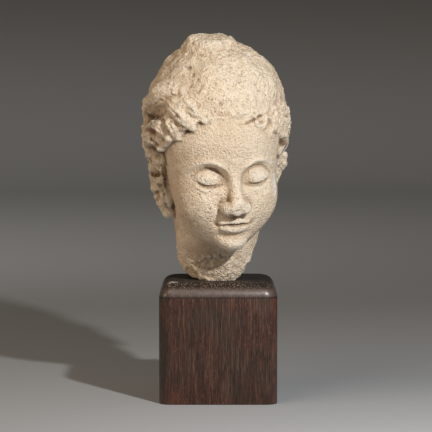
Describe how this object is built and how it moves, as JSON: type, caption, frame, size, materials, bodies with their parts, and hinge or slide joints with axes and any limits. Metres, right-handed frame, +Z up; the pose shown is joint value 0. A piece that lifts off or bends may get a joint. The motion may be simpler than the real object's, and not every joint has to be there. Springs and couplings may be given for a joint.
{
  "type": "stucco head sculpture on wood block",
  "caption": "Worn stucco head with wavy locks and a broken neck, standing on a dark wood display block with a rounded top.",
  "frame": {"origin": "centre of the wood block's underside, on the surface that the sculpture stands on", "axes": "+Z up, -Y out of the block's front side, towards which the head looks, +X to the right of a viewer in front"},
  "size_m": [0.115, 0.1225, 0.2813],
  "materials": {
    "stucco": "matt, grainy and worn",
    "wood": "dark stain with a low sheen"
  },
  "bodies": {
    "root": {"stucco_head": "stucco", "wood_block": "wood"}
  },
  "joints": []
}
